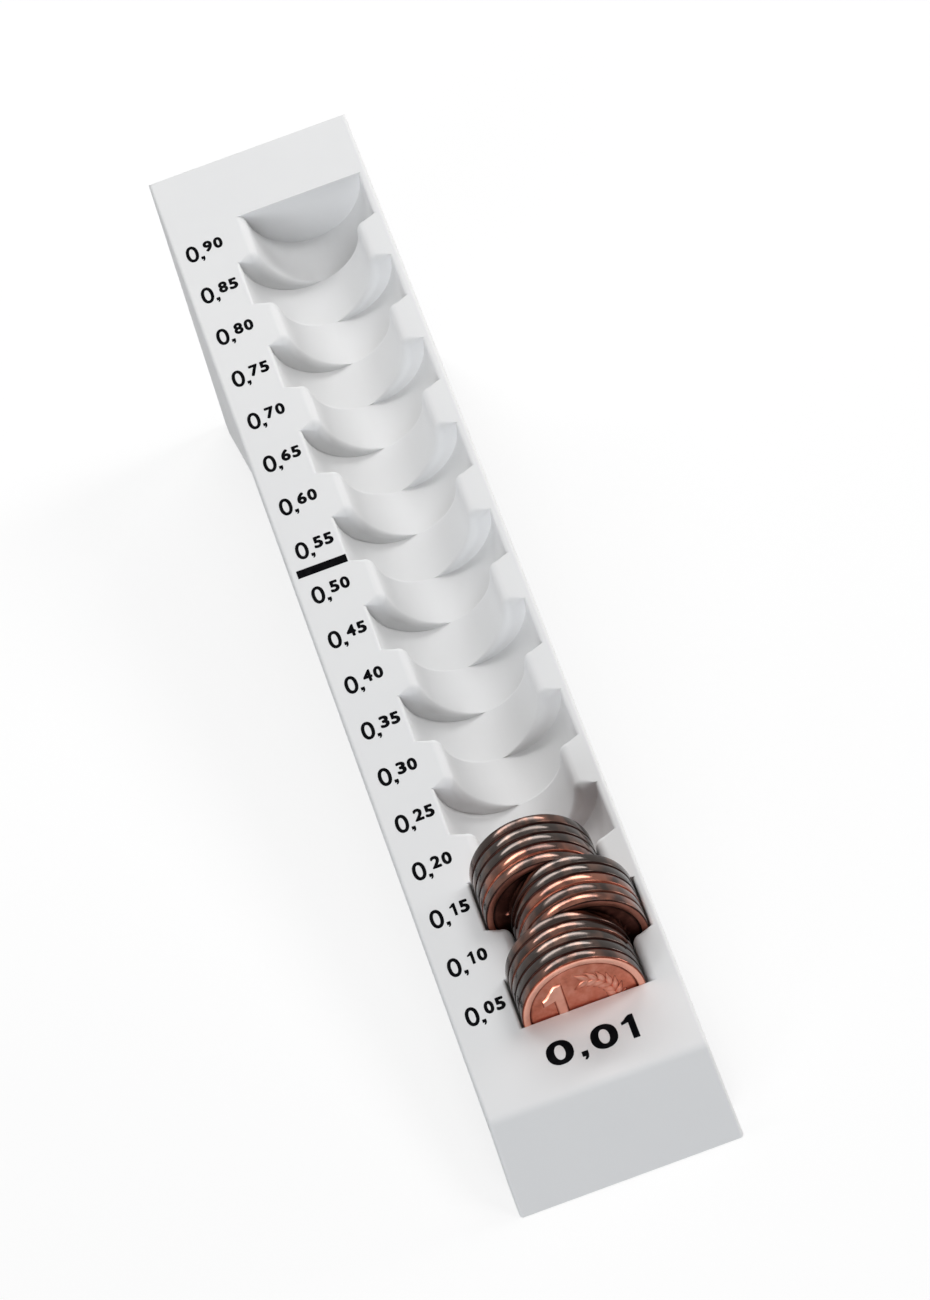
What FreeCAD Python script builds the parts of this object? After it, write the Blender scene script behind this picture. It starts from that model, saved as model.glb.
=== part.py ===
import FreeCAD, Part
import math
import os

# Coin counting rail: one moulded rail with stepped half-round troughs, loaded with three groups of coins.
# Everything is built in the deck frame (u across, v along the deck to the rear, w square to the deck)
# and laid into the upright frame (X right, Y to the rear, Z up) at the end. Millimetres and degrees.

# Coins
coin_diameter = 16.25
coin_thickness = 1.67
coins_per_group = 5
loaded_groups = 3

# Fits between the coins and the troughs
trough_clearance = 0.25
rest_gap = 0.10
group_slack = 0.15
coin_gap = 0.02

# Troughs
side_step = 2.88
step_lean = 4.0
lip_radius = 0.45
tab_radius = 1.4
wall = 1.2

# Deck, front nose and rear leg
deck_length = 178.0
left_margin = 8.03
right_skin = 0.05
front_margin = 12.34
rear_margin = 12.0
deck_thickness = 1.6
deck_slope = 11.0
nose_slope = 42.0
table_gap = 1.1
crease_radius = 2.5
edge_radius = 0.5
skirt_depth = 4.0
side_draft = 1.97
leg_reach = 55.5
leg_wall = 1.6
leg_foot = 2.6

# Spare lengths of the blocks that trim the form
trim_rise = 5.0
trim_run = 60.0
tab_spare = 0.25

# Rounding of the tabs: angles above and below the deck where it starts and has died out, the share of the
# radius left there, and how far the round stays off the corner
tab_rise = 14.0
tab_fade = 36.0
tab_end = 0.03
tab_ease = 0.34

# Sizes that follow
slope = math.radians(deck_slope)
lean = math.radians(step_lean)
draft = math.tan(math.radians(side_draft))
pitch = (coins_per_group * coin_thickness + group_slack) / math.cos(lean)
trough_radius = coin_diameter / 2 + trough_clearance
shell_radius = trough_radius + wall
deck_width = left_margin + 2 * trough_radius + side_step + wall + right_skin
groups = int((deck_length - front_margin - rear_margin) / pitch)
trough_end = front_margin + groups * pitch
left_axis = -deck_width / 2 + left_margin + trough_radius
right_axis = left_axis + side_step
crease_height = shell_radius * math.cos(slope) - (front_margin - wall) * math.sin(slope) + table_gap
rear_height = crease_height + deck_length * math.sin(slope)
nose_length = crease_height / math.sin(math.radians(nose_slope))


def point(u, v, w):
    """Point in the deck frame."""
    return FreeCAD.Vector(u, v, w)


def meet(a, da, b, db):
    """Crossing of two lines in the (v, w) plane, each given by a point and a direction."""
    det = da[0] * -db[1] + db[0] * da[1]
    t = ((b[0] - a[0]) * -db[1] + db[0] * (b[1] - a[1])) / det
    return (a[0] + t * da[0], a[1] + t * da[1])


def prism(profile, half_width):
    """Solid swept across u from a closed (v, w) profile."""
    corners = [point(-half_width, v, w) for v, w in profile]
    face = Part.Face(Part.makePolygon(corners + corners[:1]))
    return face.extrude(point(2 * half_width, 0, 0))


def drafted_bar(half_width, depth):
    """Long bar along v whose sides lean outwards below the deck by the draft."""
    low = half_width + depth * draft
    high = half_width - trim_rise * draft
    v_start = -trim_run
    corners = [
        point(-low, v_start, -depth),
        point(low, v_start, -depth),
        point(high, v_start, trim_rise),
        point(-high, v_start, trim_rise),
    ]
    face = Part.Face(Part.makePolygon(corners + corners[:1]))
    return face.extrude(point(0, deck_length + 2 * trim_run, 0))


# Directions in the (v, w) plane
ahead = (-math.cos(slope), math.sin(slope))
down = (-math.sin(slope), -math.cos(slope))
nose_angle = math.radians(nose_slope) - slope
nose_down = (-math.cos(nose_angle), -math.sin(nose_angle))
nose_inward = (math.sin(nose_angle), -math.cos(nose_angle))
along = (1.0, 0.0)


def shell():
    """Deck, nose, side skirts and rear leg: the outer form with its hollow underside taken out."""
    table_front = (nose_length * nose_down[0], nose_length * nose_down[1])
    rear_top = (deck_length, 0.0)
    rear_foot = (deck_length + rear_height * down[0], rear_height * down[1])
    foot_front = (rear_foot[0] + leg_foot * ahead[0], rear_foot[1] + leg_foot * ahead[1])
    skirt_rear = (deck_length - leg_reach, -skirt_depth)
    under_nose = (skirt_depth * nose_inward[0], skirt_depth * nose_inward[1])
    skirt_front = meet((0.0, -skirt_depth), along, under_nose, nose_down)
    table_back = meet(under_nose, nose_down, table_front, ahead)
    outline = [table_front, (0.0, 0.0), rear_top, rear_foot, foot_front, skirt_rear, skirt_front, table_back]
    half = deck_width / 2
    body = prism(outline, 2 * deck_width).common(drafted_bar(half, 2 * rear_height))

    crease = [e for e in body.Edges if on_line(e, (0.0, 0.0))]
    body = body.makeFillet(crease_radius, crease)
    body = body.makeFillet(edge_radius, upper_rim(body))

    # The hollow follows the deck, the nose and the rear wall, one skin thickness inside them.
    nose_skin = (deck_thickness * nose_inward[0], deck_thickness * nose_inward[1])
    roof_front = meet((0.0, -deck_thickness), along, nose_skin, nose_down)
    roof_rear = meet((0.0, -deck_thickness), along, (deck_length - leg_wall / math.cos(slope), 0.0), down)
    drop = 2 * rear_height
    low_rear = (roof_rear[0] + drop * down[0], roof_rear[1] + drop * down[1])
    low_front = meet(nose_skin, nose_down, low_rear, ahead)
    hollow = prism([roof_front, roof_rear, low_rear, low_front], 2 * deck_width)
    hollow = hollow.common(drafted_bar(half - wall, 4 * rear_height))
    return body.cut(hollow)


def on_line(edge, place):
    """True for an edge that runs across u through the given (v, w) place."""
    ends = [vertex.Point for vertex in edge.Vertexes]
    if len(ends) != 2:
        return False
    return all(abs(p.y - place[0]) < 1e-6 and abs(p.z - place[1]) < 1e-6 for p in ends)


def upper_rim(body):
    """Top edges of the form: both sides of deck and nose, and the rear edge."""
    rim = []
    for edge in body.Edges:
        middle = edge.valueAt((edge.FirstParameter + edge.LastParameter) / 2)
        across = edge.BoundBox.XLength > deck_width / 2
        at_side = abs(middle.x) > deck_width / 2 - 0.5
        top_deck = abs(middle.z) < 1e-6 and middle.y > 0
        on_nose = middle.y <= 1e-6 and abs(nose_depth(middle)) < 1e-3
        near_crease = abs(middle.y) < crease_radius and middle.z > -crease_radius
        on_bend = near_crease and edge.Length < 2 * crease_radius
        if at_side and not across and (top_deck or on_nose or on_bend):
            rim.append(edge)
        if across and on_line(edge, (deck_length, 0.0)):
            rim.append(edge)
    return rim


def nose_depth(place):
    """Distance of a point below the outer face of the nose."""
    return place.y * nose_inward[0] + place.z * nose_inward[1]


def slab(first, last, spare):
    """Leaning block that holds the troughs of one group, with spare length at both ends."""
    thickness = (last - first) * math.cos(lean) + 2 * spare
    block = Part.makeBox(4 * deck_width, thickness, 8 * shell_radius)
    block.translate(point(-2 * deck_width, -spare, -4 * shell_radius))
    block.rotate(point(0, 0, 0), point(1, 0, 0), -step_lean)
    block.translate(point(0, first, 0))
    return block


def trough_axis(group):
    """Side place of a group's trough: odd groups stand left, even groups right."""
    return left_axis if group % 2 == 0 else right_axis


def trough_row(radius, spare):
    """All trough bores, or with spare length and a larger radius the skin round them."""
    start = front_margin - 4 * wall
    length = groups * pitch + 8 * wall
    rows = []
    for group in range(groups):
        first = front_margin + group * pitch
        bore = Part.makeCylinder(radius, length, point(trough_axis(group), start, 0), point(0, 1, 0))
        rows.append(bore.common(slab(first, first + pitch, spare)))
    return rows[0].multiFuse(rows[1:]).removeSplitter()


def tab_section(axis, side, step, away, angle, radius):
    """Outline of what is taken off a tab's corner at one angle below the deck."""
    def place(out, behind):
        w = -out * math.sin(angle)
        return point(axis + side * out * math.cos(angle), step + w * math.tan(lean) + away * behind, w)

    on_step = place(trough_radius + radius, 0)
    on_bore = place(trough_radius, radius)
    middle = place(trough_radius + tab_ease * radius, tab_ease * radius)
    corners = [
        on_step,
        place(trough_radius + radius, -tab_spare),
        place(trough_radius - tab_spare, -tab_spare),
        place(trough_radius - tab_spare, radius),
        on_bore,
    ]
    edges = [Part.makeLine(a, b) for a, b in zip(corners, corners[1:])]
    edges.append(Part.Arc(on_bore, middle, on_step).toShape())
    return Part.Wire(edges)


def tab_rounding(axis, side, step, away):
    """Cutter that rounds one tab from the deck down, and dies out on the way to the trough's floor."""
    full = min(tab_radius, 0.6 * side_step)
    stations = [(-tab_rise, full), (0.0, full), (tab_fade, tab_end * full)]
    sections = []
    for angle, radius in stations:
        sections.append(tab_section(axis, side, step, away, math.radians(angle), radius))
    return Part.makeLoft(sections, True, True)


def tab_roundings():
    """Cutters for both tabs at each step between two troughs."""
    cutters = []
    for group in range(1, groups):
        step = front_margin + group * pitch
        front_axis = trough_axis(group - 1)
        rear_axis = trough_axis(group)
        side = 1.0 if front_axis > rear_axis else -1.0
        cutters.append(tab_rounding(rear_axis, side, step, 1.0))
        cutters.append(tab_rounding(front_axis, -side, step, -1.0))
    return cutters


def rail():
    """The moulded rail in the deck frame."""
    under_deck = Part.makeBox(4 * deck_width, 2 * deck_length, 4 * shell_radius)
    under_deck.translate(point(-2 * deck_width, -deck_length / 2, -4 * shell_radius - deck_thickness / 2))
    skin = trough_row(shell_radius, wall).common(under_deck)
    body = shell().fuse(skin).removeSplitter()
    body = body.cut(trough_row(trough_radius, 0.0))
    lips = [edge for edge in body.Edges if is_lip(edge)]
    body = body.makeFillet(lip_radius, lips)
    return body.cut(tab_roundings())


def is_lip(edge):
    """True for a long edge of a trough in the top face of the deck."""
    box = edge.BoundBox
    in_row = box.YMin > front_margin - 0.1 and box.YMax < trough_end + 0.1 and box.YLength > pitch / 2
    on_top = abs(box.ZMin) < 1e-5 and abs(box.ZMax) < 1e-5
    return in_row and on_top and abs(box.XMax) < deck_width / 2 - 0.6


def coin(index):
    """One coin of the row, standing in its trough against the coin in front of it."""
    group = index // coins_per_group
    place = index % coins_per_group
    thickness = coin_thickness - coin_gap
    half_height = coin_diameter / 2 * math.cos(lean) + thickness / 2 * math.sin(lean)
    centre = half_height + rest_gap - trough_radius
    front = centre + thickness / 2 * math.sin(lean)
    offset = coin_gap + place * coin_thickness
    along_deck = (offset + front * math.sin(lean)) / math.cos(lean)
    disc = Part.makeCylinder(coin_diameter / 2, thickness, point(0, 0, 0), point(0, 1, 0))
    disc.rotate(point(0, 0, 0), point(1, 0, 0), -step_lean)
    disc.translate(point(trough_axis(group), front_margin + group * pitch + along_deck, front))
    return disc


def upright(shape):
    """Lay a shape from the deck frame into the upright frame, with the origin under the middle."""
    front = -crease_height / math.tan(math.radians(nose_slope))
    rear = deck_length * math.cos(slope)
    shape.rotate(point(0, 0, 0), point(1, 0, 0), deck_slope)
    shape.translate(point(0, -(front + rear) / 2, crease_height))
    return shape


os.makedirs("parts", exist_ok=True)
upright(rail()).exportStep("parts/rail_body.step")
for number in range(loaded_groups * coins_per_group):
    upright(coin(number)).exportStep("parts/coin_%02d.step" % (number + 1))
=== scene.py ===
import logging
import math
from dataclasses import dataclass, field
from enum import Enum
from typing import Callable

import bpy
from mathutils import Matrix, Quaternion, Vector


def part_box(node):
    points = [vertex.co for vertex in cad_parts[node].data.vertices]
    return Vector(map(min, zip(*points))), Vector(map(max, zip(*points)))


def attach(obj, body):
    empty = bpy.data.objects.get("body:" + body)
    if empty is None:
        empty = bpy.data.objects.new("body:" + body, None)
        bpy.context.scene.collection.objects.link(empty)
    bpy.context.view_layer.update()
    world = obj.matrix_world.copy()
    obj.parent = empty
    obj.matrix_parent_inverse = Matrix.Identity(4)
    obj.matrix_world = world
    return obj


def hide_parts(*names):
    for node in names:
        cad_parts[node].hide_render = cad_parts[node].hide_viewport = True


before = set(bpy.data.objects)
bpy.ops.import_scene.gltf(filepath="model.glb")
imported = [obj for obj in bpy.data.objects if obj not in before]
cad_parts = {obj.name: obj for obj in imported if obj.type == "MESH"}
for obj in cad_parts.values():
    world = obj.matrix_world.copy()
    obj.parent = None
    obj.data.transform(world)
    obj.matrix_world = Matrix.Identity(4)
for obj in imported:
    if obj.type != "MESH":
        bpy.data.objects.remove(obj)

MM = 0.001
SMOOTH_ANGLE = math.radians(32.0)
FACING = 0.9  # least part of a normal along an axis that counts as facing it
LOG = logging.getLogger("counting_rail")

Colour = tuple[float, float, float]
Triple = tuple[float, float, float]
Pair = tuple[float, float]
Points = list[Pair]
Piece = bpy.types.Object
Socket = bpy.types.NodeSocket
FaceTest = Callable[[bpy.types.MeshPolygon], bool]
EdgeTest = Callable[[Vector, Vector], bool]


class Wear(Enum):
    """How far a coin has browned in use."""

    FRESH = "fresh"
    HANDLED = "handled"
    BROWN = "brown"


class Bench:
    """Selection and edit-mode steps that all pieces share."""

    @staticmethod
    def clear() -> None:
        """Leave edit mode and deselect every object."""
        if bpy.context.object and bpy.context.object.mode != "OBJECT":
            Bench.close()
        bpy.ops.object.select_all(action="DESELECT")

    @staticmethod
    def take(piece: Piece) -> None:
        """Make one piece the only selected and the active one."""
        Bench.clear()
        piece.select_set(True)
        bpy.context.view_layer.objects.active = piece

    @staticmethod
    def edit(piece: Piece, kind: str) -> None:
        """Open a piece in edit mode with nothing selected, then step back to object mode.

        Args:
            piece: The object to work on.
            kind: The select mode, FACE or EDGE.
        """
        Bench.take(piece)
        bpy.ops.object.mode_set(mode="EDIT")
        bpy.ops.mesh.select_mode(type=kind)
        bpy.ops.mesh.select_all(action="DESELECT")
        Bench.close()

    @staticmethod
    def pick_faces(piece: Piece, test: FaceTest) -> None:
        """Select faces by place or normal and stay in edit mode.

        Args:
            piece: The object to work on.
            test: Says for each face whether it is taken.
        """
        Bench.edit(piece, "FACE")
        for face in piece.data.polygons:
            face.select = test(face)
        bpy.ops.object.mode_set(mode="EDIT")

    @staticmethod
    def pick_edges(piece: Piece, test: EdgeTest) -> None:
        """Select edges by the places of their ends and stay in edit mode.

        Args:
            piece: The object to work on.
            test: Says for the two ends of each edge whether it is taken.
        """
        Bench.edit(piece, "EDGE")
        points = piece.data.vertices
        for edge in piece.data.edges:
            first, second = edge.vertices
            edge.select = test(points[first].co, points[second].co)
        bpy.ops.object.mode_set(mode="EDIT")

    @staticmethod
    def pick_all(piece: Piece) -> None:
        """Select every face and stay in edit mode."""
        Bench.pick_faces(piece, lambda face: True)

    @staticmethod
    def close() -> None:
        """Leave edit mode."""
        bpy.ops.object.mode_set(mode="OBJECT")

    @staticmethod
    def pull(move: Vector | Triple) -> None:
        """Extrude the selected points or faces by a move."""
        bpy.ops.mesh.extrude_region_move(TRANSFORM_OT_translate={"value": move})

    @staticmethod
    def face_out() -> None:
        """Turn all faces of the open mesh outwards and leave edit mode."""
        bpy.ops.mesh.select_all(action="SELECT")
        bpy.ops.mesh.normals_make_consistent(inside=False)
        Bench.close()

    @staticmethod
    def label(piece: Piece, name: str) -> None:
        """Name a piece and its mesh."""
        piece.name = name
        piece.data.name = name

    @staticmethod
    def coat(piece: Piece, material: bpy.types.Material) -> None:
        """Give a piece its one material."""
        piece.data.materials.clear()
        piece.data.materials.append(material)

    @staticmethod
    def lay(piece: Piece, place: Matrix) -> None:
        """Put a piece in its place and keep that place in its mesh.

        Args:
            piece: The object to lay down.
            place: Where its own frame goes.
        """
        Bench.take(piece)
        piece.matrix_world = place @ piece.matrix_world
        bpy.ops.object.transform_apply(location=True, rotation=True, scale=True)

    @staticmethod
    def outline(points: Points) -> Piece:
        """Draw a flat face by running one point round its corners.

        Args:
            points: The corners in order.

        Returns:
            The face in the plane of x and y.
        """
        Bench.clear()
        bpy.ops.mesh.primitive_plane_add(size=1.0 * MM)
        piece = bpy.context.object
        bpy.ops.object.mode_set(mode="EDIT")
        bpy.ops.mesh.select_mode(type="VERT")
        bpy.ops.mesh.select_all(action="SELECT")
        bpy.ops.mesh.merge(type="CENTER")
        bpy.ops.transform.translate(value=(*points[0], 0.0))
        for before, after in zip(points, points[1:]):
            Bench.pull((after[0] - before[0], after[1] - before[1], 0.0))
        bpy.ops.mesh.select_all(action="SELECT")
        bpy.ops.mesh.edge_face_add()
        Bench.close()
        if piece.data.polygons[0].normal.z < 0.0:
            Bench.pick_all(piece)
            bpy.ops.mesh.flip_normals()
            Bench.close()
        return piece

    @staticmethod
    def join(pieces: list[Piece], name: str) -> Piece:
        """Join pieces into the first one.

        Args:
            pieces: The objects to join.
            name: The name of the joined piece.

        Returns:
            The joined object.
        """
        Bench.take(pieces[0])
        for piece in pieces[1:]:
            piece.select_set(True)
        bpy.ops.object.join()
        Bench.label(pieces[0], name)
        return pieces[0]

    @staticmethod
    def copy(pattern: Piece) -> Piece:
        """Copy a pattern with a mesh of its own."""
        Bench.take(pattern)
        bpy.ops.object.duplicate(linked=False)
        return bpy.context.object

    @staticmethod
    def merge(piece: Piece, gap: float) -> None:
        """Merge the points of a mesh that lie closer together than a gap."""
        Bench.pick_all(piece)
        bpy.ops.mesh.remove_doubles(threshold=gap)
        Bench.close()

    @staticmethod
    def combine(piece: Piece, tool: Piece, kind: str) -> None:
        """Cut a tool out of a piece, or unite the two, and use the tool up.

        Args:
            piece: The closed mesh to work on.
            tool: The closed mesh that is used up.
            kind: DIFFERENCE or UNION.
        """
        Bench.take(piece)
        bpy.ops.object.modifier_add(type="BOOLEAN")
        modifier = piece.modifiers[-1]
        modifier.operation = kind
        modifier.solver = "MANIFOLD"
        modifier.object = tool
        bpy.ops.object.modifier_apply(modifier=modifier.name)
        bpy.data.objects.remove(tool, do_unlink=True)

    @staticmethod
    def smooth(piece: Piece) -> None:
        """Shade a piece smooth, with its sharp edges kept sharp and its flat faces flat.

        Args:
            piece: The object to shade.
        """
        Bench.take(piece)
        bpy.ops.object.shade_smooth_by_angle(angle=SMOOTH_ANGLE)
        bpy.ops.object.modifier_add(type="WEIGHTED_NORMAL")
        modifier = piece.modifiers[-1]
        modifier.keep_sharp = True
        bpy.ops.object.modifier_apply(modifier=modifier.name)


class NodeBoard:
    """The node tree of a material or a world, and short ways to wire it."""

    noise_range: Pair = (0.3, 0.7)

    def __init__(self, owner: bpy.types.Material | bpy.types.World) -> None:
        """Open the node tree.

        Args:
            owner: The new material or world.
        """
        owner.use_nodes = True
        self.tree = owner.node_tree
        kind = "BSDF_PRINCIPLED" if isinstance(owner, bpy.types.Material) else "BACKGROUND"
        self.shader = next(node for node in self.tree.nodes if node.type == kind)

    def fill(self, node: bpy.types.Node, **values: object) -> None:
        """Set or link the inputs of a node by name.

        Args:
            node: The node.
            values: A constant or a socket for each input, with underscores for spaces.
        """
        for key, value in values.items():
            target = node.inputs[key.replace("_", " ")]
            if isinstance(value, Socket):
                self.wire(value, target)
            else:
                target.default_value = value

    def add(self, kind: str, **values: object) -> bpy.types.Node:
        """Add a node of a type and fill its inputs."""
        node = self.tree.nodes.new(kind)
        self.fill(node, **values)
        return node

    def wire(self, source: Socket, target: Socket) -> None:
        """Link two sockets."""
        self.tree.links.new(source, target)

    def place(self) -> Socket:
        """Object coordinates, in metres."""
        return self.add("ShaderNodeTexCoord").outputs["Object"]

    def seen(self) -> Socket:
        """Add the test for rays that show a surface straight, in a mirror or through glass.

        Returns:
            1 for such a ray and 0 for one that only carries light.
        """
        path = self.add("ShaderNodeLightPath")
        result = path.outputs["Is Camera Ray"]
        for kind in ("Is Glossy Ray", "Is Transmission Ray"):
            result = self.math("MAXIMUM", result, path.outputs[kind])
        return result

    def noise(self, vector: Socket, scale: float, detail: float = 3.0) -> Socket:
        """Add a noise texture, with its grains in one unit and its finer layers."""
        return self.add("ShaderNodeTexNoise", Vector=vector, Scale=scale, Detail=detail).outputs[0]

    def ramp(self, value: Socket, stops: list[tuple[float, Colour]]) -> Socket:
        """Turn a grey value into a colour.

        Args:
            value: The grey value.
            stops: Places and colours of the ramp.

        Returns:
            The colour.
        """
        node = self.add("ShaderNodeValToRGB", Fac=value)
        elements = node.color_ramp.elements
        while len(elements) < len(stops):
            elements.new(0.5)
        for element, (place, colour) in zip(elements, stops):
            element.position = place
            element.color = (*colour, 1.0)
        return node.outputs[0]

    def attribute(self, name: str, output: str = "Fac") -> Socket:
        """Read an attribute of the mesh."""
        node = self.add("ShaderNodeAttribute")
        node.attribute_name = name
        return node.outputs[output]

    def stretch(self, vector: Socket, scale: Triple) -> Socket:
        """Scale coordinates by an amount along each axis."""
        return self.add("ShaderNodeMapping", Vector=vector, Scale=scale).outputs[0]

    def blend(self, share: Socket, first: Socket, second: Socket) -> Socket:
        """Blend two colours by the share of the second."""
        return self.add("ShaderNodeMixRGB", Fac=share, Color1=first, Color2=second).outputs[0]

    def spread(self, value: Socket, low: float, high: float) -> Socket:
        """Spread the middle of a noise value over a range."""
        dark, light = self.noise_range
        return self.scale(value, low, high, From_Min=dark, From_Max=light)

    def scale(self, value: Socket, low: object, high: object, **values: float) -> Socket:
        """Scale a value from 0 to 1, or from the range that is given, to another range."""
        return self.add("ShaderNodeMapRange", Value=value, To_Min=low, To_Max=high, **values).outputs[0]

    def math(self, kind: str, first: Socket, second: Socket | float) -> Socket:
        """Combine two values.

        Args:
            kind: The operation.
            first: The first value.
            second: The second value or a number.

        Returns:
            The result.
        """
        node = self.add("ShaderNodeMath")
        node.operation = kind
        self.wire(first, node.inputs[0])
        if isinstance(second, float):
            node.inputs[1].default_value = second
        else:
            self.wire(second, node.inputs[1])
        return node.outputs[0]

    def relief(self, height: Socket, depth: float, strength: float) -> Socket:
        """Turn the grey value of a grain into a fine bump with a depth in metres."""
        return self.add("ShaderNodeBump", Strength=strength, Distance=depth, Height=height).outputs[0]


@dataclass(frozen=True)
class MouldedPlastic:
    """Grey-white moulded plastic with a satin skin."""

    name: str = "moulded_plastic"
    light: Colour = (0.76, 0.76, 0.76)
    shade: Colour = (0.735, 0.737, 0.74)
    rough: Pair = (0.48, 0.58)
    gloss: float = 0.25
    cloud_scale: float = 28.0
    cloud_detail: float = 4.0
    grain_scale: float = 2400.0
    grain_detail: float = 2.0
    grain_depth: float = 0.012 * MM
    grain_strength: float = 0.25

    def material(self) -> bpy.types.Material:
        """Mix the plastic.

        Returns:
            The material.
        """
        material = bpy.data.materials.new(self.name)
        board = NodeBoard(material)
        place = board.place()
        cloud = board.noise(place, self.cloud_scale, self.cloud_detail)
        grain = board.noise(place, self.grain_scale, self.grain_detail)
        board.fill(
            board.shader,
            Base_Color=board.ramp(cloud, [(0.35, self.shade), (0.65, self.light)]),
            Roughness=board.spread(grain, *self.rough),
            Specular_IOR_Level=self.gloss,
            Normal=board.relief(grain, self.grain_depth, self.grain_strength),
        )
        return material


@dataclass(frozen=True)
class PadInk:
    """Near-black printing ink with a slightly uneven film."""

    name: str = "print_ink"
    full: Colour = (0.004, 0.004, 0.005)
    thin: Colour = (0.009, 0.009, 0.010)
    rough: Pair = (0.6, 0.75)
    film_scale: float = 900.0

    def material(self) -> bpy.types.Material:
        """Mix the ink.

        Returns:
            The material.
        """
        material = bpy.data.materials.new(self.name)
        board = NodeBoard(material)
        film = board.noise(board.place(), self.film_scale)
        board.fill(
            board.shader,
            Base_Color=board.ramp(film, [(0.4, self.full), (0.75, self.thin)]),
            Roughness=board.spread(film, *self.rough),
            Specular_IOR_Level=0.0,
        )
        return material


@dataclass(frozen=True)
class CopperTone:
    """Colours of copper in one state of wear: hollows, field and edges of a face, and the side's two. The
    hollow colour also serves as painted shade on a coin's rounded outer edge and at the foot of its rim wall.

    The side's middle is the grey value of the patches at which its two colours meet.
    """

    hollow_and_shade: Colour
    body: Colour
    bright: Colour
    side: Colour
    side_warm: Colour
    side_middle: float


def copper_tones() -> dict[Wear, CopperTone]:
    """Set out the colours of each state of wear."""
    return {
        Wear.FRESH: CopperTone(
            hollow_and_shade=(0.10, 0.022, 0.012),
            body=(0.63, 0.215, 0.14),
            bright=(0.88, 0.47, 0.36),
            side=(0.055, 0.033, 0.028),
            side_warm=(0.23, 0.096, 0.066),
            side_middle=0.5,
        ),
        Wear.HANDLED: CopperTone(
            hollow_and_shade=(0.05, 0.018, 0.012),
            body=(0.30, 0.10, 0.066),
            bright=(0.62, 0.27, 0.19),
            side=(0.047, 0.035, 0.031),
            side_warm=(0.15, 0.077, 0.058),
            side_middle=0.53,
        ),
        Wear.BROWN: CopperTone(
            hollow_and_shade=(0.012, 0.006, 0.005),
            body=(0.09, 0.032, 0.024),
            bright=(0.30, 0.12, 0.085),
            side=(0.052, 0.043, 0.039),
            side_warm=(0.135, 0.083, 0.066),
            side_middle=0.58,
        ),
    }


@dataclass(frozen=True)
class StruckCopper:
    """Copper of a coin in use: bright on what rubs, brown in the hollows, dark and smooth on the side, with
    painted shade in the hollow colour on the rounded outer edge and at the foot of the rim wall.
    """

    face: Wear
    side: Wear
    face_rough: float = 0.34
    side_rough: float = 0.13
    rough_spread: Pair = (-0.05, 0.08)
    wear_spread: Pair = (-0.14, 0.12)
    streak_scale: Triple = (0.22, 0.22, 1.6)
    streak_detail: float = 4.0
    streak_depth: float = 0.02 * MM
    streak_strength: float = 0.1
    patch_scale: Triple = (0.30, 0.30, 0.16)
    patch_blend: float = 0.07
    spot_scale: float = 0.9
    spot_detail: float = 5.0

    def material(self) -> bpy.types.Material:
        """Mix the copper.

        Returns:
            The material.
        """
        tones = copper_tones()
        face, side = tones[self.face], tones[self.side]
        material = bpy.data.materials.new(f"copper_{self.face.value}_{self.side.value}")
        board = NodeBoard(material)
        local = board.attribute("local", "Vector")
        on_side = board.attribute("side")
        streak = board.noise(board.stretch(local, self.streak_scale), 1.0, self.streak_detail)
        patch = board.noise(board.stretch(local, self.patch_scale), 1.0)
        spot = board.noise(local, self.spot_scale, self.spot_detail)
        # the tone carries wear and also the painted shade of the outer edge and of the rim wall's foot
        wear_and_shade = board.math("ADD", board.attribute("tone"), board.spread(spot, *self.wear_spread))
        face_colour = board.ramp(wear_and_shade, [(0.0, face.hollow_and_shade), (0.5, face.body), (0.95, face.bright)])
        low, high = side.side_middle - self.patch_blend, side.side_middle + self.patch_blend
        side_colour = board.ramp(patch, [(low, side.side), (high, side.side_warm)])
        rough = board.scale(on_side, self.face_rough, self.side_rough)
        board.fill(
            board.shader,
            Base_Color=board.blend(on_side, face_colour, side_colour),
            Roughness=board.math("ADD", rough, board.spread(streak, *self.rough_spread)),
            Metallic=1.0,
            Normal=board.relief(streak, self.streak_depth, self.streak_strength),
        )
        return material


@dataclass
class Deck:
    """Top face of the rail, x across and y up the slope from the crease, and the lean of its steps."""

    slope: float = math.radians(11.0)
    nose_slope: float = math.radians(42.0)
    crease_height: float = 8.3735 * MM
    front_margin: float = 12.34 * MM
    pitch: float = 8.5208 * MM
    groups: int = 18
    lean: float = math.radians(4.0)

    def frame(self) -> Matrix:
        """Place of flat work on the deck.

        Returns:
            The matrix that lays it there.
        """
        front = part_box("rail_body")[0][1]
        crease = front + self.crease_height / math.tan(self.nose_slope)
        return Matrix.Translation((0.0, crease, self.crease_height)) @ Matrix.Rotation(self.slope, 4, "X")

    def middle(self, group: int) -> float:
        """Way up the deck to the middle of a trough, counted from 1."""
        return self.front_margin + (group - 0.5) * self.pitch


@dataclass(frozen=True)
class Station:
    """One stop on the way of a rolled edge: its place, its angle below level and its share of the full size."""

    place: Vector
    angle: float
    share: float

    def matrix(self) -> Matrix:
        """Matrix that stands an outline here."""
        turned = Matrix.Translation(self.place) @ Matrix.Rotation(self.angle, 4, "Y")
        return turned @ Matrix.Scale(self.share, 4)


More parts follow.
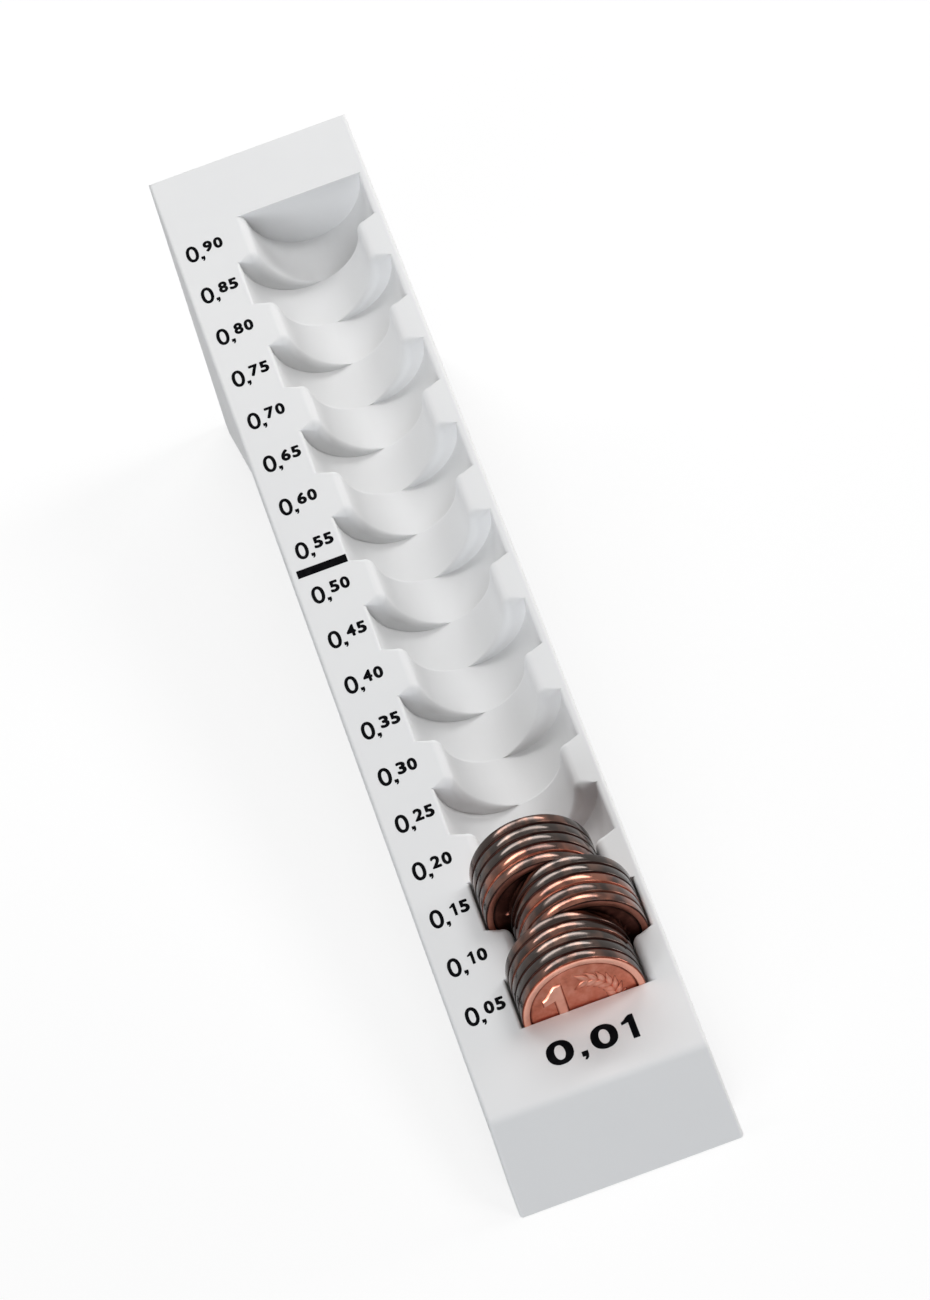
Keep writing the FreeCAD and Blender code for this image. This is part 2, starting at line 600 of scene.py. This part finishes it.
@dataclass
class Rail:
    """The moulded rail: the CAD form with its troughs cut finely and the edges of its tabs rolled over."""

    deck: Deck
    node: str = "rail_body"
    finish: MouldedPlastic = MouldedPlastic()
    bore: float = 8.385 * MM
    bore_sides: int = 128
    left_axis: float = 1.95 * MM
    side_step: float = 2.88 * MM
    overlap: float = 0.004 * MM
    roll: float = 1.3 * MM
    roll_share: float = 0.5
    roll_sides: int = 8
    wall_steps: int = 20
    lip_steps: int = 8
    deck_steps: int = 3
    spare: float = 0.3 * MM
    most_share: float = 0.98
    least_share: float = 0.02
    first_merge: float = 0.001 * MM
    last_merge: float = 0.002 * MM

    def axis(self, group: int) -> float:
        """Side place of a trough, counted from 1: odd ones stand left, even ones right."""
        return self.left_axis + (0.0 if group % 2 else self.side_step)

    def tab_side(self, group: int) -> float:
        """Side of a trough that its tab is on: right, 1, on the odd ones and left, -1, on the even ones."""
        return 1.0 if group % 2 else -1.0

    def leaning(self) -> Matrix:
        """Matrix that leans a cutter like the steps, back to front below the deck."""
        matrix = Matrix.Identity(4)
        matrix[1][2] = math.tan(self.deck.lean)
        return matrix

    def plug(self) -> Piece:
        """Model what one trough takes out: a lying cylinder between two leaning planes.

        Returns:
            The cutter of a trough at the origin.
        """
        Bench.clear()
        length = self.deck.pitch + 4.0 * self.bore
        bpy.ops.mesh.primitive_cylinder_add(
            vertices=self.bore_sides, radius=self.bore, depth=length, rotation=(math.pi / 2, 0.0, 0.0)
        )
        piece = bpy.context.object
        Bench.lay(piece, Matrix())
        normal = (0.0, 1.0, -math.tan(self.deck.lean))
        for place, outer in ((-self.overlap, False), (self.deck.pitch + self.overlap, True)):
            Bench.pick_all(piece)
            bpy.ops.mesh.bisect(
                plane_co=(0.0, place, 0.0),
                plane_no=normal,
                use_fill=True,
                clear_inner=not outer,
                clear_outer=outer,
            )
            Bench.close()
        return piece

    def lip(self) -> list[Station]:
        """Set out the rolled lip between the side of a trough and the deck, seen along the trough.

        Returns:
            The stations from the side of the trough up to the deck.
        """
        reach = self.bore + self.roll
        middle = Vector((math.sqrt(reach**2 - self.roll**2), 0.0, -self.roll))
        low = math.asin(self.roll / reach)
        stations: list[Station] = []
        for step in range(self.lip_steps + 1):
            angle = low + (math.pi / 2 - low) * step / self.lip_steps
            back = Vector((-math.cos(angle), 0.0, math.sin(angle)))
            stations.append(Station(middle + self.roll * back, angle, self.most_share))
        return stations

    def flare(self) -> Piece:
        """Model what the rolled lip of one tab loses along its trough.

        Returns:
            The cutter of a lip at the origin, upright.
        """
        curve = [(station.place.x, station.place.z) for station in self.lip()]
        inside = curve[0][0] - self.spare
        back = [(curve[-1][0], self.spare), (inside, self.spare), (inside, curve[0][1])]
        piece = Bench.outline(curve + back)
        upright = Matrix.Rotation(math.pi / 2, 4, "X")
        Bench.lay(piece, Matrix.Translation((0.0, -self.overlap, 0.0)) @ upright)
        Bench.pick_all(piece)
        run = (0.0, self.deck.pitch + 2.0 * self.overlap, 0.0)
        Bench.pull(run)
        Bench.close()
        return piece

    def corner(self) -> Piece:
        """Draw the outline of what a rolled edge loses: a concave quarter circle and three straight sides.

        Returns:
            The outline as one face, with the edge at the origin.
        """
        size = self.roll
        steps = [math.pi / 2 * step / self.roll_sides for step in range(self.roll_sides + 1)]
        points = [(size * (1.0 - math.sin(turn)), size * (1.0 - math.cos(turn))) for turn in steps]
        spare = -self.spare
        return Bench.outline(points + [(spare, size), (spare, spare), (size, spare)])

    def share(self, angle: float) -> float:
        """Say how large the roll is at an angle below the deck.

        Args:
            angle: The angle in the trough.

        Returns:
            The share of the full roll that the width of the step leaves room for.
        """
        reach = math.sqrt(self.bore**2 - (self.side_step * math.sin(angle)) ** 2)
        width = self.side_step * math.cos(angle) + reach - self.bore
        return max(self.least_share, min(self.most_share, self.roll_share * width / self.roll))

    def way(self) -> list[Station]:
        """Set out the way of a tab's end edge: up the side of the trough, over the lip and out along the deck.

        Returns:
            The stations from the trough's floor to the outer end of the tab.
        """
        lip = self.lip()
        first = math.acos(self.side_step / 2 / self.bore)
        stations: list[Station] = []
        for step in range(self.wall_steps):
            angle = first + (lip[0].angle - first) * step / self.wall_steps
            place = Vector((self.bore * math.cos(angle), 0.0, -self.bore * math.sin(angle)))
            stations.append(Station(place, angle, self.share(angle)))
        stations += lip
        end = Vector((self.bore + self.side_step, 0.0, 0.0))
        for step in range(1, self.deck_steps + 1):
            part = step / self.deck_steps
            share = self.most_share + (self.least_share - self.most_share) * part
            stations.append(Station(lip[-1].place.lerp(end, part), math.pi / 2, share))
        return stations

    def rounding(self) -> Piece:
        """Model what the rolled end edge of a tab loses: the outline led along its way.

        Returns:
            The cutter of one edge at the origin.
        """
        stations = self.way()
        piece = self.corner()
        Bench.lay(piece, stations[0].matrix())
        Bench.pick_all(piece)
        for before, after in zip(stations, stations[1:]):
            Bench.pull(after.place - before.place)
            turn = before.angle - after.angle
            bpy.ops.transform.rotate(value=turn, orient_axis="Y", center_override=after.place)
            grow = after.share / before.share
            bpy.ops.transform.resize(value=(grow, grow, grow), center_override=after.place)
        Bench.close()
        return piece

    def cutters(self) -> list[Piece]:
        """Set out the cutters of all troughs, of the lips of all tabs and of both edges at each step.

        Returns:
            Five sets of cutters that stand clear of each other, laid in the deck.
        """
        plug, flare, rounding = self.plug(), self.flare(), self.rounding()
        sets: list[list[Piece]] = [[] for _ in range(5)]

        def copy(pattern: Piece, place: Matrix, number: int) -> None:
            """Set one cutter of a set in its place."""
            sets[number].append(Bench.copy(pattern))
            sets[number][-1].data.transform(place)

        for group in range(1, self.deck.groups + 1):
            first = self.deck.front_margin + (group - 1) * self.deck.pitch
            stand = Matrix.Translation((self.axis(group), first, 0.0))
            copy(plug, stand, group % 2)
            mirror = Matrix.Diagonal((self.tab_side(group), 1.0, 1.0, 1.0))
            copy(flare, stand @ self.leaning() @ mirror, 4)
            if group == 1:
                continue
            for number, owner, away in ((2, group, 1.0), (3, group - 1, -1.0)):
                place = Matrix.Translation((self.axis(owner), first, 0.0)) @ self.leaning()
                mirror = Matrix.Diagonal((self.tab_side(owner), away, 1.0, 1.0))
                copy(rounding, place @ mirror, number)
        for pattern in (plug, flare, rounding):
            bpy.data.objects.remove(pattern, do_unlink=True)
        cutters = [Bench.join(pieces, "trough_cutter") for pieces in sets]
        for cutter in cutters:
            Bench.pick_all(cutter)
            Bench.face_out()
            Bench.lay(cutter, self.deck.frame())
        return cutters

    def build(self) -> None:
        """Cut the troughs into a copy of the CAD form and give it its plastic."""
        cutters = self.cutters()
        piece = Bench.copy(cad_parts[self.node])
        Bench.label(piece, "rail_moulding")
        bpy.ops.mesh.customdata_custom_splitnormals_clear()
        Bench.merge(piece, self.first_merge)
        for cutter in cutters:
            Bench.combine(piece, cutter, "DIFFERENCE")
        Bench.merge(piece, self.last_merge)
        Bench.smooth(piece)
        Bench.coat(piece, self.finish.material())
        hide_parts(self.node)
        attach(piece, "rail")
        LOG.info("%s: %d faces", piece.name, len(piece.data.polygons))


def figure_one(width: float, height: float, stem: float) -> Points:
    """Outline of a figure one, centred on the origin.

    Args:
        width: Its width.
        height: Its height.
        stem: The stem's share of the width.

    Returns:
        The corners in order.
    """
    left = 1.0 - stem
    stem_side = [(left, 0.0), (1.0, 0.0), (1.0, 1.0), (1.0 - 0.72 * stem, 1.0)]
    flag = [(0.72 * left, 0.9), (0.4 * left, 0.83), (0.0, 0.79), (0.0, 0.67), (left, 0.71)]
    return [((x - 0.5) * width, (y - 0.5) * height) for x, y in stem_side + flag]


def comma_mark(size: float) -> Points:
    """Outline of a comma, with the middle of its square head at the origin.

    Args:
        size: Half the width of the head.

    Returns:
        The corners in order.
    """
    head = [(-1.0, -1.0), (-1.0, 1.0), (1.0, 1.0), (1.0, -0.6)]
    tail = [(0.75, -1.6), (0.0, -2.4), (-0.6, -2.1), (0.0, -1.0)]
    return [(x * size, y * size) for x, y in head + tail]


@dataclass
class ScalePrint:
    """Numbers, bar and value printed on the deck."""

    deck: Deck
    finish: PadInk = PadInk()
    step: float = 0.05
    film: float = 0.02 * MM
    sunk: float = 0.01 * MM
    whole_weight: float = 0.015
    part_weight: float = 0.046
    value_weight: float = 0.028
    stem: float = 0.5
    whole_height: float = 3.15 * MM
    whole_width: float = 1.75 * MM
    part_height: float = 2.1 * MM
    part_width: float = 1.26 * MM
    part_pitch: float = 1.47 * MM
    one_width: float = 0.78 * MM
    comma_size: float = 0.27 * MM
    whole_x: float = -11.77 * MM
    comma_x: float = -10.5 * MM
    part_x: float = -8.66 * MM
    lift: float = 0.28 * MM
    drift: float = 0.03 * MM
    drift_group: int = 9
    bar_group: int = 10
    bar_length: float = 6.96 * MM
    bar_width: float = 1.42 * MM
    bar_x: float = -10.06 * MM
    bar_lift: float = 0.6 * MM
    value: str = "0,01"
    value_height: float = 3.9 * MM
    value_width: float = 3.5 * MM
    value_gap: float = 0.75 * MM
    value_one: float = 1.75 * MM
    value_comma: float = 0.42 * MM
    value_x: float = 1.1 * MM
    value_y: float = 6.6 * MM
    shifts: int = 8
    curve_steps: int = 6
    first_merge: float = 1e-5
    last_merge: float = 1e-4
    flat_angle: float = math.radians(2.0)
    patterns: dict[tuple[str, float], Piece] = field(default_factory=dict)

    def digit(self, text: str, weight: float) -> Piece:
        """Model a digit about the origin, one unit wide, high and thick.

        Its strokes are thickened by uniting it with copies that are shifted all round.

        Args:
            text: The digit.
            weight: How far its strokes are thickened.

        Returns:
            The pattern of its films.
        """
        Bench.clear()
        bpy.ops.object.text_add()
        piece = bpy.context.object
        piece.data.body = text
        piece.data.resolution_u = self.curve_steps
        piece.data.extrude = 0.5
        bpy.ops.object.convert(target="MESH")
        Bench.merge(piece, self.first_merge)
        copies = [Bench.copy(piece) for _ in range(self.shifts)]
        for number, copy in enumerate(copies):
            turn = Matrix.Rotation(math.tau * (number + 0.5) / self.shifts, 4, "Z")
            Bench.lay(copy, Matrix.Translation(turn @ Vector((weight, 0.0, 0.0))))
        for copy in copies:
            Bench.combine(piece, copy, "UNION")
        Bench.merge(piece, self.last_merge)
        Bench.pick_all(piece)
        bpy.ops.mesh.dissolve_limited(angle_limit=self.flat_angle)
        Bench.close()
        corners = [Vector(corner) for corner in piece.bound_box]
        low = Vector(min(corner[axis] for corner in corners) for axis in range(3))
        high = Vector(max(corner[axis] for corner in corners) for axis in range(3))
        unit = Matrix.Diagonal((*(1.0 / span for span in high - low), 1.0))
        Bench.lay(piece, unit @ Matrix.Translation(-(low + high) / 2))
        return piece

    def character(self, mark: str, size: Pair, x: float, y: float, weight: float) -> Piece:
        """Set one character of a line as a thin solid film.

        Args:
            mark: A digit or a comma.
            size: Its width and height, or a comma's width and the height of its line.
            x: Middle across the deck.
            y: Middle of the line up the deck.
            weight: How far a digit's strokes are thickened.

        Returns:
            The film as a mesh.
        """
        if mark == ",":
            half = size[0] / 2
            return self.drawn(comma_mark(half), x, y - size[1] / 2 + half)
        if mark == "1":
            return self.drawn(figure_one(*size, self.stem), x, y)
        if (mark, weight) not in self.patterns:
            self.patterns[mark, weight] = self.digit(mark, weight)
        piece = Bench.copy(self.patterns[mark, weight])
        place = Matrix.Translation((x, y, (self.film - self.sunk) / 2))
        Bench.lay(piece, place @ Matrix.Diagonal((*size, self.film + self.sunk, 1.0)))
        return piece

    def drawn(self, corners: Points, x: float, y: float) -> Piece:
        """Set a mark that is drawn by its corners.

        Args:
            corners: Its outline.
            x: Place of its origin across the deck.
            y: Place of its origin up the deck.

        Returns:
            The film as a mesh.
        """
        piece = Bench.outline(corners)
        Bench.lay(piece, Matrix.Translation((x, y, -self.sunk)))
        return self.thicken(piece)

    def thicken(self, piece: Piece) -> Piece:
        """Give a flat face the thickness of the film.

        Args:
            piece: The flat mesh.

        Returns:
            The same piece, closed.
        """
        Bench.pick_all(piece)
        Bench.pull((0.0, 0.0, self.film + self.sunk))
        Bench.face_out()
        return piece

    def number(self, group: int) -> list[Piece]:
        """Set the number of one trough: a large whole part, a comma and two raised digits.

        Args:
            group: The trough, counted from 1.

        Returns:
            The pieces of film.
        """
        whole, part = f"{group * self.step:.2f}".split(".")
        shift = -self.drift * max(0, group - self.drift_group)
        y = self.deck.middle(group) + self.lift
        top = y + (self.whole_height - self.part_height) / 2
        large = (self.whole_width, self.whole_height)
        comma = (2.0 * self.comma_size, self.whole_height)
        films = [
            self.character(whole, large, self.whole_x + shift, y, self.whole_weight),
            self.character(",", comma, self.comma_x + shift, y, self.whole_weight),
        ]
        for place, digit in enumerate(part):
            small = (self.one_width if digit == "1" else self.part_width, self.part_height)
            x = self.part_x + shift + (place - 0.5) * self.part_pitch
            films.append(self.character(digit, small, x, top, self.part_weight))
        return films

    def bar(self) -> Piece:
        """Set the bar that marks the middle of the scale.

        Returns:
            The film as a mesh.
        """
        Bench.clear()
        y = self.deck.front_margin + self.bar_group * self.deck.pitch + self.bar_lift
        bpy.ops.mesh.primitive_plane_add(size=1.0)
        piece = bpy.context.object
        place = Matrix.Translation((self.bar_x, y, -self.sunk))
        Bench.lay(piece, place @ Matrix.Diagonal((self.bar_length, self.bar_width, 1.0, 1.0)))
        return self.thicken(piece)

    def finish_piece(self, pieces: list[Piece], name: str) -> None:
        """Join films, lay them on the deck, ink them and fix them to the rail.

        Args:
            pieces: The films of one print.
            name: The piece's name.
        """
        piece = Bench.join(pieces, name)
        Bench.lay(piece, self.deck.frame())
        Bench.coat(piece, self.ink)
        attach(piece, "rail")
        LOG.info("%s: %d faces", name, len(piece.data.polygons))

    def build(self) -> None:
        """Print the scale, the bar and the value."""
        self.ink = self.finish.material()
        films: list[Piece] = []
        for group in range(1, self.deck.groups + 1):
            films += self.number(group)
        self.finish_piece(films, "scale_numbers")
        self.finish_piece([self.bar()], "scale_bar")
        self.finish_piece(self.value_films(), "value_number")
        for pattern in self.patterns.values():
            bpy.data.objects.remove(pattern, do_unlink=True)

    def value_films(self) -> list[Piece]:
        """Set the value in front of the troughs.

        Returns:
            The pieces of film.
        """
        sizes = {"0": self.value_width, ",": 2.0 * self.value_comma, "1": self.value_one}
        gaps = self.value_gap * (len(self.value) - 1)
        x = self.value_x - (sum(sizes[mark] for mark in self.value) + gaps) / 2
        films: list[Piece] = []
        for mark in self.value:
            size = (sizes[mark], self.value_height)
            films.append(self.character(mark, size, x + size[0] / 2, self.value_y, self.value_weight))
            x += size[0] + self.value_gap
        return films


@dataclass
class CoinDie:
    """One struck coin, modelled at the origin with its axis up and its value side on top."""

    radius: float = 8.125 * MM
    thickness: float = 1.65 * MM
    sides: int = 240
    rim_width: float = 0.95 * MM
    rim_wall: float = 0.14 * MM
    rim_depth: float = 0.22 * MM
    hollow_width: float = 0.3 * MM
    edge_round: float = 0.24 * MM
    edge_steps: int = 3
    lip_round: float = 0.05 * MM
    lip_steps: int = 2
    numeral_height: float = 9.4 * MM
    numeral_width: float = 3.0 * MM
    numeral_stem: float = 0.5
    numeral_x: float = -3.5 * MM
    numeral_y: float = 0.3 * MM
    numeral_slope: float = 0.22 * MM
    relief: float = 0.2 * MM
    root: float = 0.03 * MM
    leaf_length: float = 2.6 * MM
    leaf_width: float = 0.95 * MM
    leaf_sides: int = 8
    leaf_rings: int = 6
    tip_start: float = 0.45
    tip_pinch: Triple = (0.55, 1.0, 0.8)
    leaf_pairs: int = 12
    leaf_gap: float = 0.62
    leaf_splay: float = math.radians(34.0)
    sprig_radius: float = 4.2 * MM
    sprig_turn: float = math.radians(82.0)
    wreath_turn: float = math.radians(150.0)
    field_tone: float = 0.55
    rim_tone: Pair = (0.72, 0.23)
    relief_tone: Pair = (0.02, 0.93)
    slack: float = 0.02 * MM
    # width of the band of painted shade at the foot of the rim wall
    rim_foot_shade: float = 0.05 * MM

    def blank(self) -> Piece:
        """Turn the blank: a disc with raised rims, sunk fields and rounded edges.

        Returns:
            The blank.
        """
        Bench.clear()
        bpy.ops.mesh.primitive_cylinder_add(vertices=self.sides, radius=self.radius, depth=self.thickness)
        coin = bpy.context.object
        Bench.pick_faces(coin, lambda face: abs(face.normal.z) > FACING)
        bpy.ops.mesh.inset(thickness=self.rim_width, use_individual=True)
        bpy.ops.mesh.inset(thickness=self.rim_wall, use_individual=True)
        for side in (1.0, -1.0):
            Bench.pick_faces(coin, lambda face: self.is_field(face, side))
            bpy.ops.transform.translate(value=(0.0, 0.0, -side * self.rim_depth))
            bpy.ops.mesh.inset(thickness=self.hollow_width)
        self.round_ring(coin, self.radius, self.edge_round, self.edge_steps)
        self.round_ring(coin, self.radius - self.rim_width, self.lip_round, self.lip_steps)
        Bench.close()
        return coin

    def is_field(self, face: bpy.types.MeshPolygon, side: float) -> bool:
        """True for the sunk middle face of one side."""
        on_axis = Vector(face.center[:2]).length < 0.1 * self.rim_wall
        return on_axis and face.normal.z * side > FACING

    def round_ring(self, coin: Piece, radius: float, size: float, steps: int) -> None:
        """Round the two circles of one radius in the faces of the rims.

        Args:
            coin: The blank.
            radius: The radius of the circles.
            size: The size of the round.
            steps: Its number of steps.
        """

        def on_ring(point: Vector) -> bool:
            """True for a point on one of the circles."""
            on_face = abs(abs(point.z) - self.thickness / 2) < self.slack
            return on_face and abs(Vector(point[:2]).length - radius) < self.slack

        Bench.pick_edges(coin, lambda first, second: on_ring(first) and on_ring(second))
        bpy.ops.mesh.bevel(offset=size, segments=steps, affect="EDGES")

    def field_height(self) -> float:
        """Height of a sunk field over the coin's middle."""
        return self.thickness / 2 - self.rim_depth

    def numeral(self) -> Piece:
        """Raise the numeral of the value side.

        Returns:
            The numeral as a mesh.
        """
        piece = Bench.outline(figure_one(self.numeral_width, self.numeral_height, self.numeral_stem))
        Bench.pick_all(piece)
        Bench.pull((0.0, 0.0, self.root))
        bpy.ops.mesh.inset(thickness=self.numeral_slope, depth=self.relief)
        Bench.face_out()
        place = (self.numeral_x, self.numeral_y, self.field_height() - self.root)
        Bench.lay(piece, Matrix.Translation(place))
        return piece

    def leaf(self) -> Piece:
        """Model one leaf at the origin: a flat drop with a pinched tip.

        Returns:
            The leaf.
        """
        Bench.clear()
        bpy.ops.mesh.primitive_uv_sphere_add(segments=self.leaf_sides, ring_count=self.leaf_rings, radius=1.0)
        piece = bpy.context.object
        Bench.lay(piece, Matrix.Rotation(math.pi / 2, 4, "X"))
        Bench.pick_faces(piece, lambda face: face.center.y > self.tip_start)
        bpy.ops.transform.resize(value=self.tip_pinch)
        bpy.ops.mesh.select_all(action="SELECT")
        bpy.ops.transform.resize(value=(self.leaf_width / 2, self.leaf_length / 2, self.relief))
        Bench.close()
        return piece

    def sprig(self, height: float, start: float, turn: float) -> list[Piece]:
        """Lay a sprig of paired leaves along an arc of a field.

        Args:
            height: Height of the field over the coin's middle.
            start: Angle of the sprig's middle.
            turn: Half the angle that it covers.

        Returns:
            The leaves.
        """
        leaves: list[Piece] = []
        pattern = self.leaf()
        for pair in range(self.leaf_pairs):
            share = pair / (self.leaf_pairs - 1)
            angle = start + turn * (2.0 * share - 1.0)
            for side in (-1.0, 1.0):
                piece = Bench.copy(pattern)
                radius = self.sprig_radius + side * self.leaf_gap * self.leaf_width
                stand = Matrix.Translation((radius * math.cos(angle), radius * math.sin(angle), height))
                Bench.lay(piece, stand @ Matrix.Rotation(angle - side * self.leaf_splay, 4, "Z"))
                leaves.append(piece)
        bpy.data.objects.remove(pattern, do_unlink=True)
        return leaves

    def tone(self, point: Vector, raised: bool) -> float:
        """Say how bright the copper is rubbed at a point of the coin, with painted shade as the darkest tone on
        the rounded outer edge and at the foot of the rim wall.

        Args:
            point: The place on the coin.
            raised: Whether it is on the relief.

        Returns:
            0 in the hollows and in the painted shade, up to 1 on the edges that rub.
        """
        reach = Vector(point[:2]).length
        lift = max(0.0, min(1.0, (abs(point.z) - self.field_height()) / self.relief))
        wall_foot = self.radius - self.rim_width - self.rim_wall
        if raised:
            return self.relief_tone[0] + self.relief_tone[1] * lift
        # painted shade: the rounded outer edge takes the darkest tone, which darkens the lines between stacked
        # coins
        if reach > self.radius - 0.6 * self.edge_round:
            return 0.0
        if reach > wall_foot + self.slack:
            return self.rim_tone[0] + self.rim_tone[1] * lift
        # painted shade: a thin band at the foot of the rim wall takes the darkest tone, standing for the rim
        # wall's shadow
        if reach > wall_foot - self.rim_foot_shade:
            return 0.0
        return self.field_tone

    def stamp(self, piece: Piece, raised: bool) -> None:
        """Write the wear, the side and the coin's own coordinates into a mesh.

        Args:
            piece: A part of the coin.
            raised: Whether it is relief.
        """
        flat = self.thickness / 2 - 0.8 * self.edge_round
        tones = piece.data.attributes.new("tone", "FLOAT", "POINT")
        sides = piece.data.attributes.new("side", "FLOAT", "POINT")
        places = piece.data.attributes.new("local", "FLOAT_VECTOR", "POINT")
        for index, vertex in enumerate(piece.data.vertices):
            outside = Vector(vertex.co[:2]).length > self.radius - self.slack
            tones.data[index].value = self.tone(vertex.co, raised)
            sides.data[index].value = 1.0 if outside and abs(vertex.co.z) < flat else 0.0
            places.data[index].vector = vertex.co / MM

    def build(self) -> Piece:
        """Model the coin.

        Returns:
            The coin at the origin.
        """
        height = self.field_height()
        parts = [self.blank(), self.numeral()]
        parts += self.sprig(height, 0.0, self.sprig_turn)
        parts += self.sprig(-height, math.pi / 2, self.wreath_turn)
        for number, part in enumerate(parts):
            self.stamp(part, number > 0)
        coin = Bench.join(parts, "coin_pattern")
        Bench.smooth(coin)
        return coin


@dataclass
class CoinLoad:
    """The coins that stand in the front troughs, with a letter for the wear of each one's faces and side; the
    brown faces of coins 6 and 11 are painted shade for the shadow of the coins in front of them.
    """

    deck: Deck
    die: CoinDie
    turn: float = math.radians(137.5)
    # coins 6 and 11 get brown faces as painted shade, where the coins in front shade them
    faces: str = "FBBHBBHFBBBFBBB"
    sides: str = "HBBHHFHFBBHFBBH"

    def wear(self, letter: str) -> Wear:
        """State that a letter stands for."""
        return {"F": Wear.FRESH, "H": Wear.HANDLED, "B": Wear.BROWN}[letter]

    def build(self) -> None:
        """Strike all coins and stand each in the place of its CAD node."""
        finishes: dict[str, bpy.types.Material] = {}
        pattern = self.die.build()
        upright = Matrix.Rotation(math.pi / 2 + self.deck.slope - self.deck.lean, 4, "X")
        for number, (face, side) in enumerate(zip(self.faces, self.sides), 1):
            if face + side not in finishes:
                finishes[face + side] = StruckCopper(self.wear(face), self.wear(side)).material()
            node = f"coin_{number:02d}"
            low, high = (Vector(corner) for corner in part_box(node))
            piece = Bench.copy(pattern)
            Bench.label(piece, f"{node}_struck")
            stand = Matrix.Translation((low + high) / 2) @ upright
            Bench.lay(piece, stand @ Matrix.Rotation((number - 1) * self.turn, 4, "Z"))
            Bench.coat(piece, finishes[face + side])
            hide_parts(node)
            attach(piece, node)
            LOG.info("%s: %s, %d faces", piece.name, finishes[face + side].name, len(piece.data.polygons))
        bpy.data.objects.remove(pattern, do_unlink=True)


@dataclass
class Lamp:
    """A soft box that shines at the middle of the rail."""

    name: str
    place: Triple
    width: float
    height: float
    power: float
    roll: float = 0.0
    colour: Colour = (1.0, 1.0, 1.0)

    def hang(self, target: Vector) -> None:
        """Hang the lamp and turn it.

        Args:
            target: The point that it shines at.
        """
        data = bpy.data.lights.new(self.name, "AREA")
        data.shape = "ELLIPSE"
        data.size = self.width
        data.size_y = self.height
        data.energy = self.power
        data.color = self.colour
        lamp = bpy.data.objects.new(self.name, data)
        bpy.context.scene.collection.objects.link(lamp)
        lamp.visible_camera = False
        lamp.location = self.place
        aim = (target - Vector(self.place)).to_track_quat("-Z", "Y")
        lamp.rotation_euler = (aim @ Quaternion((0.0, 0.0, 1.0), math.radians(self.roll))).to_euler()


@dataclass
class Studio:
    """White floor, soft lamps and the camera."""

    floor_radius: float = 3.0
    floor_gap: float = 0.05 * MM
    floor_grey: float = 0.3
    floor_glow: float = 0.78
    floor_sides: int = 96
    floor_tint: Pair = (0.99, 1.0)
    floor_rough: float = 0.9
    spot_scale: float = 6.0
    target: Triple = (0.0, 0.0, 0.02)
    camera_place: Triple = (-0.010595, -0.822781, 0.630147)
    camera_turn: Triple = (51.647716, 15.502765, -12.944450)
    camera_lens: float = 302.625
    camera_sensor: float = 36.0
    camera_clip: Pair = (0.01, 20.0)

    def lamps(self) -> list[Lamp]:
        """Set out the soft boxes."""
        return [
            Lamp("rear_left_strip", (-0.35, 0.79, 0.87), 0.75, 0.2, 4.4, -25.0),
            Lamp("rear_right_strip", (0.36, 0.79, 0.86), 0.75, 0.2, 4.4, 25.0),
            Lamp("top_softbox", (0.0, -0.2, 1.235), 0.8, 0.8, 3.4),
            Lamp("right_softbox", (0.76, 0.13, 0.985), 0.45, 0.45, 4.3),
            Lamp("right_fill", (1.22, 0.215, 0.174), 0.45, 0.45, 8.0),
            Lamp("left_fill", (-0.796, -0.948, 0.174), 0.45, 0.45, 5.6, 0.0, (0.95, 0.975, 1.0)),
            Lamp("front_fill", (-0.32, -1.196, 0.174), 0.45, 0.45, 4.6, 0.0, (0.92, 0.955, 1.0)),
        ]

    def lay_floor(self) -> None:
        """Lay the white floor, which keeps the shadow of the rail."""
        Bench.clear()
        place = (0.0, 0.0, -self.floor_gap)
        bpy.ops.mesh.primitive_circle_add(
            vertices=self.floor_sides, radius=self.floor_radius, fill_type="NGON", location=place
        )
        floor = bpy.context.object
        floor.name = "studio_floor"
        material = bpy.data.materials.new("floor_white")
        board = NodeBoard(material)
        spot = board.noise(board.place(), self.spot_scale)
        seen = board.seen()
        board.fill(
            board.shader,
            Base_Color=board.scale(seen, self.floor_grey, board.spread(spot, *self.floor_tint)),
            Roughness=self.floor_rough,
            Specular_IOR_Level=0.0,
        )
        glow = board.add("ShaderNodeEmission")
        mix = board.add("ShaderNodeMixShader")
        board.wire(board.math("MULTIPLY", seen, self.floor_glow), mix.inputs[0])
        board.wire(board.shader.outputs[0], mix.inputs[1])
        board.wire(glow.outputs[0], mix.inputs[2])
        out = next(node for node in board.tree.nodes if node.type == "OUTPUT_MATERIAL")
        board.wire(mix.outputs[0], out.inputs["Surface"])
        floor.data.materials.append(material)

    def light(self) -> None:
        """Light the room by its lamps alone, with white behind it for camera and mirror rays."""
        world = bpy.data.worlds.new("studio")
        bpy.context.scene.world = world
        board = NodeBoard(world)
        board.fill(board.shader, Color=(1.0, 1.0, 1.0, 1.0), Strength=board.seen())
        for lamp in self.lamps():
            lamp.hang(Vector(self.target))

    def set_camera(self) -> None:
        """Stand the camera where the photograph was taken from."""
        data = bpy.data.cameras.new("camera")
        data.lens = self.camera_lens
        data.sensor_fit = "HORIZONTAL"
        data.sensor_width = self.camera_sensor
        data.clip_start, data.clip_end = self.camera_clip
        camera = bpy.data.objects.new("camera", data)
        camera.location = self.camera_place
        camera.rotation_euler = [math.radians(angle) for angle in self.camera_turn]
        bpy.context.scene.collection.objects.link(camera)
        bpy.context.scene.camera = camera

    def build(self) -> None:
        """Set up floor, light, camera and view."""
        self.lay_floor()
        self.light()
        self.set_camera()
        bpy.context.scene.view_settings.view_transform = "Standard"


def main() -> None:
    """Build the dressed rail."""
    logging.basicConfig(level=logging.INFO, format="%(name)s: %(message)s")
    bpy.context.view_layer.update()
    deck = Deck()
    Rail(deck).build()
    ScalePrint(deck).build()
    CoinLoad(deck, CoinDie()).build()
    Studio().build()


if __name__ == "__main__":
    main()
